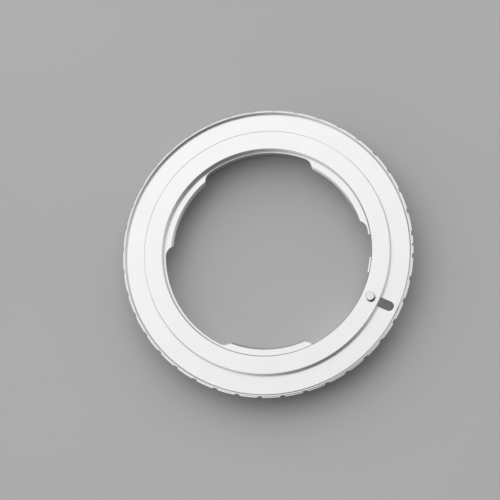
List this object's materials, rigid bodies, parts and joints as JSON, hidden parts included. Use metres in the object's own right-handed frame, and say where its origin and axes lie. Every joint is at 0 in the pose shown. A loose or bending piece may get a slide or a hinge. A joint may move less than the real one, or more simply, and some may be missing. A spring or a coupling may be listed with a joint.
{
  "type": "lens mount adapter",
  "caption": "Thin plated metal ring that seats a bayonet lens on a camera body with a wider bayonet, with inward tabs, a notched grip edge and a sprung lock pin.",
  "frame": {"origin": "on the optical axis, at the end of the camera-side boss on which the part rests", "axes": "+Z along the optical axis from the camera towards the lens, +X through the lock pin"},
  "size_m": [0.0654, 0.0654, 0.0081],
  "materials": {
    "plated_ring": "turned brass with a satin bright plating",
    "pin_steel": "turned and polished",
    "spring_steel": "rolled strip, bright",
    "screw_steel": "turned head, plated"
  },
  "bodies": {
    "ring": {"adapter_body": "plated_ring", "lock_spring": "spring_steel", "spring_screw": "screw_steel"},
    "lock": {"lock_pin": "pin_steel"}
  },
  "joints": [
    {"name": "lock_press", "type": "slide", "parent": "ring", "child": "lock", "axis": [0, 0, -1], "range_m": [0, 0.0012], "stiffness_N_per_m": 1700, "springref_m": -0.0003, "deforming": ["lock_spring"]}
  ]
}
